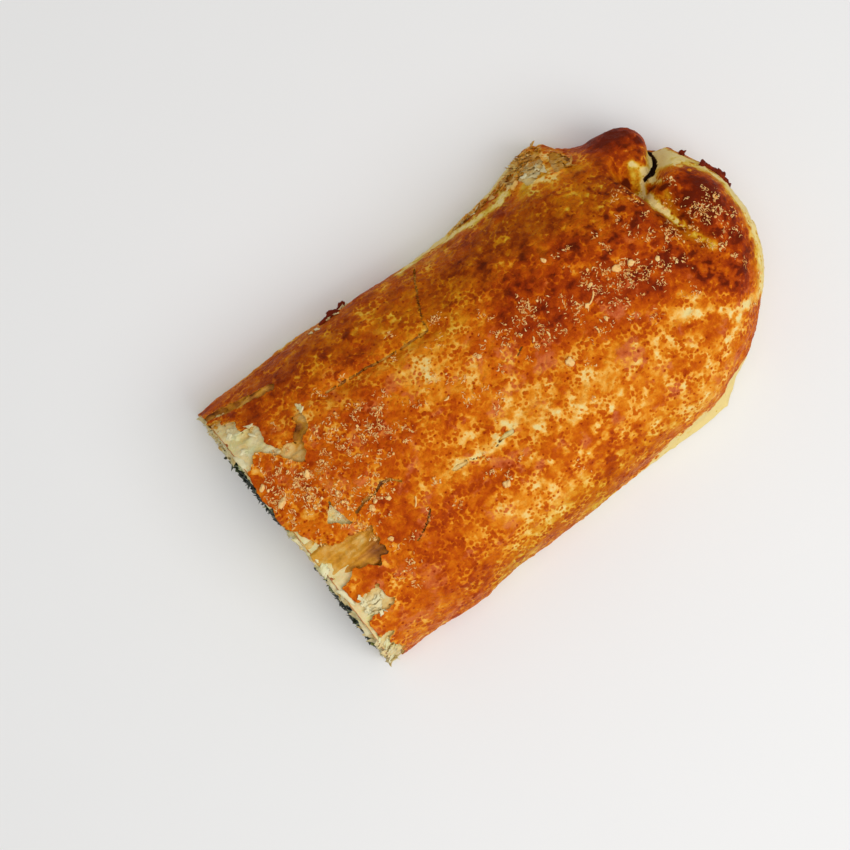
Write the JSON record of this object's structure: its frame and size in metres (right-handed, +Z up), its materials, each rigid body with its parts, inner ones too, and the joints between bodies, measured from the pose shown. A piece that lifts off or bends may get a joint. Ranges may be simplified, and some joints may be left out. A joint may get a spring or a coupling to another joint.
{
  "type": "spinach strudel",
  "caption": "Long loaf of golden flaky pastry rolled round spinach, onion and boiled egg, cut across at one end and folded shut at the other, with toasted crumbs on top.",
  "frame": {"origin": "middle of the base that the loaf rests on", "axes": "+X runs along the loaf from the cut end to the folded end, +Y is the loaf's left side seen from the cut end, +Z is up"},
  "size_m": [0.2721, 0.1593, 0.0666],
  "materials": {
    "pastry": "egg-washed puff pastry, baked golden to red-brown, cream and flaky where torn or cut",
    "spinach": "moist chopped cooked spinach, near black green",
    "onion": "translucent cooked onion",
    "egg_white": "smooth moist set egg white",
    "egg_yolk": "crumbly hard-boiled yolk"
  },
  "bodies": {
    "root": {"pastry": "pastry", "spinach_filling": "spinach", "onion_piece_1": "onion", "onion_piece_2": "onion", "egg_white": "egg_white", "egg_yolk": "egg_yolk"}
  },
  "joints": []
}
